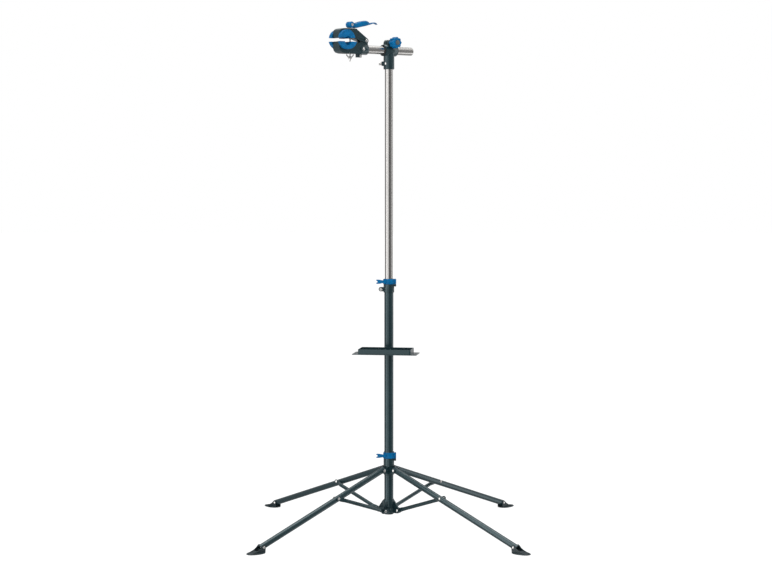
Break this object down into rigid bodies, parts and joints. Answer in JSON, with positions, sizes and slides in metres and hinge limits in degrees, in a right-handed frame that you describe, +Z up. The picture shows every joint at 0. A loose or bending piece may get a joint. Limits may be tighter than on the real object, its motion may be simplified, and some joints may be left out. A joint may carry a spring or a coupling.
{
  "type": "bicycle repair stand",
  "caption": "Folding floor stand: braced legs on a sliding hub, telescopic mast, tool tray, and a turning arm with a cam-operated clamp.",
  "frame": {"origin": "the pole's axis at floor level", "axes": "+Z up along the pole, -Y towards the tray's front, the legs on the diagonals"},
  "size_m": [1, 1, 1.888],
  "materials": {
    "powder_coat": "semi-gloss anthracite powder coat",
    "bright_tube": "chromed steel tube, drawn lengthwise",
    "blue_plastic": "glossy moulded blue plastic",
    "blue_pad": "smooth blue jaw pad",
    "black_nylon": "moulded black nylon",
    "black_foot": "dark moulded foot",
    "grey_cap": "grey moulded cap",
    "zinc_fastener": "bright zinc-plated steel"
  },
  "bodies": {
    "stand": {"lower_tube": "powder_coat", "base_hub": "powder_coat", "base_rivets": "zinc_fastener", "base_plug": "black_nylon", "mast_collar": "powder_coat", "mast_collar_bolt": "zinc_fastener", "mast_lever_pin": "zinc_fastener", "mast_liner": "black_nylon"},
    "mast_lever": {"mast_lever": "blue_plastic"},
    "slider": {"slider_hub": "powder_coat", "slider_rivets": "zinc_fastener", "slider_lever_pin": "zinc_fastener", "slider_liner": "black_nylon"},
    "slider_lever": {"slider_lever": "blue_plastic"},
    "mast_guide": {"mast_guide": "black_nylon"},
    "mast": {"mast_tube": "bright_tube", "head_casting": "powder_coat", "head_bolts": "zinc_fastener"},
    "knob": {"head_knob": "blue_plastic", "knob_cap": "grey_cap", "knob_screw": "zinc_fastener"},
    "arm_liner": {"arm_liner": "black_nylon"},
    "arm": {"arm_tube": "bright_tube", "arm_cap": "bright_tube", "lower_jaw": "powder_coat", "lower_pad": "blue_pad", "jaw_pin": "zinc_fastener", "jaw_bolt": "zinc_fastener", "jaw_rivet": "zinc_fastener"},
    "upper_jaw": {"upper_jaw": "powder_coat", "upper_pad": "blue_pad", "thrust_plate": "zinc_fastener"},
    "clamp_rod": {"clamp_rod": "zinc_fastener", "barrel_pin": "zinc_fastener"},
    "cam_lever": {"cam_lever": "blue_plastic"},
    "wing_nut": {"wing_nut": "zinc_fastener"},
    "tray_bush": {"tray_bush": "black_nylon"},
    "tray": {"tray": "powder_coat", "tray_clamp": "powder_coat", "tray_bolts": "powder_coat"},
    "brace_1": {"brace_1": "powder_coat"},
    "leg_1": {"leg_1": "powder_coat", "leg_rivet_1": "zinc_fastener"},
    "foot_1": {"foot_1": "black_foot", "foot_rivet_1": "zinc_fastener"},
    "brace_2": {"brace_2": "powder_coat"},
    "leg_2": {"leg_2": "powder_coat", "leg_rivet_2": "zinc_fastener"},
    "foot_2": {"foot_2": "black_foot", "foot_rivet_2": "zinc_fastener"},
    "brace_3": {"brace_3": "powder_coat"},
    "leg_3": {"leg_3": "powder_coat", "leg_rivet_3": "zinc_fastener"},
    "foot_3": {"foot_3": "black_foot", "foot_rivet_3": "zinc_fastener"},
    "brace_4": {"brace_4": "powder_coat"},
    "leg_4": {"leg_4": "powder_coat", "leg_rivet_4": "zinc_fastener"},
    "foot_4": {"foot_4": "black_foot", "foot_rivet_4": "zinc_fastener"}
  },
  "joints": [
    {"name": "brace_1_fold", "type": "hinge", "parent": "stand", "child": "brace_1", "pos_m": [0.02546, 0.02546, 0.072], "axis": [0.7071, -0.7071, 0], "range_deg": [0, 66]},
    {"name": "brace_2_fold", "type": "hinge", "parent": "stand", "child": "brace_2", "pos_m": [-0.02546, 0.02546, 0.072], "axis": [0.7071, 0.7071, 0], "range_deg": [0, 66]},
    {"name": "brace_3_fold", "type": "hinge", "parent": "stand", "child": "brace_3", "pos_m": [-0.02546, -0.02546, 0.072], "axis": [-0.7071, 0.7071, 0], "range_deg": [0, 66]},
    {"name": "brace_4_fold", "type": "hinge", "parent": "stand", "child": "brace_4", "pos_m": [0.02546, -0.02546, 0.072], "axis": [-0.7071, -0.7071, 0], "range_deg": [0, 66]},
    {"name": "leg_1_fold", "type": "hinge", "parent": "brace_1", "child": "leg_1", "pos_m": [0.19233, 0.19233, 0.148], "axis": [-0.7071, 0.7071, 0], "range_deg": [0, 132]},
    {"name": "leg_2_fold", "type": "hinge", "parent": "brace_2", "child": "leg_2", "pos_m": [-0.19233, 0.19233, 0.148], "axis": [-0.7071, -0.7071, 0], "range_deg": [0, 132]},
    {"name": "leg_3_fold", "type": "hinge", "parent": "brace_3", "child": "leg_3", "pos_m": [-0.19233, -0.19233, 0.148], "axis": [0.7071, -0.7071, 0], "range_deg": [0, 132]},
    {"name": "leg_4_fold", "type": "hinge", "parent": "brace_4", "child": "leg_4", "pos_m": [0.19233, -0.19233, 0.148], "axis": [0.7071, 0.7071, 0], "range_deg": [0, 132]},
    {"name": "foot_1_tilt", "type": "hinge", "parent": "leg_1", "child": "foot_1", "pos_m": [0.4476, 0.4476, 0.02], "axis": [-0.7071, 0.7071, 0], "range_deg": [-75, 35]},
    {"name": "foot_2_tilt", "type": "hinge", "parent": "leg_2", "child": "foot_2", "pos_m": [-0.4476, 0.4476, 0.02], "axis": [-0.7071, -0.7071, 0], "range_deg": [-75, 35]},
    {"name": "foot_3_tilt", "type": "hinge", "parent": "leg_3", "child": "foot_3", "pos_m": [-0.4476, -0.4476, 0.02], "axis": [0.7071, -0.7071, 0], "range_deg": [-75, 35]},
    {"name": "foot_4_tilt", "type": "hinge", "parent": "leg_4", "child": "foot_4", "pos_m": [0.4476, -0.4476, 0.02], "axis": [0.7071, 0.7071, 0], "range_deg": [-75, 35]},
    {"name": "hub_slide", "type": "hinge", "parent": "leg_1", "child": "slider", "pos_m": [0.02546, 0.02546, 0.224], "axis": [0.7071, -0.7071, 0], "range_deg": [0, 66]},
    {"name": "slider_lever_swing", "type": "hinge", "parent": "slider", "child": "slider_lever", "pos_m": [0.02255, -0.00821, 0.2785], "axis": [0, 0, 1], "range_deg": [0, 110]},
    {"name": "mast_lever_swing", "type": "hinge", "parent": "stand", "child": "mast_lever", "pos_m": [0.02255, -0.00821, 0.93], "axis": [0, 0, 1], "range_deg": [0, 110]},
    {"name": "mast_slide", "type": "slide", "parent": "stand", "child": "mast_guide", "axis": [0, 0, 1], "range_m": [-0.73, 0]},
    {"name": "mast_swivel", "type": "hinge", "parent": "mast_guide", "child": "mast", "pos_m": [0, 0, 0.84], "axis": [0, 0, 1], "continuous": true},
    {"name": "knob_turn", "type": "hinge", "parent": "mast", "child": "knob", "pos_m": [0.02314, -0.02758, 1.8115], "axis": [0.6428, -0.766, 0], "continuous": true},
    {"name": "arm_roll", "type": "hinge", "parent": "mast", "child": "arm_liner", "pos_m": [0, 0, 1.784], "axis": [-0.766, -0.6428, 0], "continuous": true},
    {"name": "arm_slide", "type": "slide", "parent": "arm_liner", "child": "arm", "axis": [-0.766, -0.6428, 0], "range_m": [-0.03, 0.07]},
    {"name": "jaw_hinge", "type": "hinge", "parent": "arm", "child": "upper_jaw", "pos_m": [-0.09116, -0.07649, 1.815], "axis": [-0.6428, 0.766, 0], "range_deg": [-3, 14]},
    {"name": "rod_slide", "type": "slide", "parent": "arm", "child": "clamp_rod", "axis": [0, 0, 1], "range_m": [-0.004, 0.0185]},
    {"name": "cam_swing", "type": "hinge", "parent": "clamp_rod", "child": "cam_lever", "pos_m": [-0.14095, -0.11827, 1.8705], "axis": [0.6428, -0.766, 0], "range_deg": [0, 120]},
    {"name": "wing_nut_turn", "type": "hinge", "parent": "arm", "child": "wing_nut", "pos_m": [-0.14095, -0.11827, 1.752], "axis": [0, 0, 1], "continuous": true},
    {"name": "tray_slide", "type": "slide", "parent": "stand", "child": "tray_bush", "axis": [0, 0, 1], "range_m": [0, 0.18]},
    {"name": "tray_swivel", "type": "hinge", "parent": "tray_bush", "child": "tray", "pos_m": [0, 0, 0.67], "axis": [0, 0, 1], "continuous": true}
  ],
  "couplings": [
    {"joint": "brace_2_fold", "follows": "brace_1_fold", "ratio": 1},
    {"joint": "brace_3_fold", "follows": "brace_1_fold", "ratio": 1},
    {"joint": "brace_4_fold", "follows": "brace_1_fold", "ratio": 1},
    {"joint": "leg_1_fold", "follows": "brace_1_fold", "ratio": 2},
    {"joint": "leg_2_fold", "follows": "brace_1_fold", "ratio": 2},
    {"joint": "leg_3_fold", "follows": "brace_1_fold", "ratio": 2},
    {"joint": "leg_4_fold", "follows": "brace_1_fold", "ratio": 2},
    {"joint": "hub_slide", "follows": "brace_1_fold", "ratio": 1},
    {"joint": "rod_slide", "follows": "jaw_hinge", "m_per_rad": 0.0725}
  ]
}
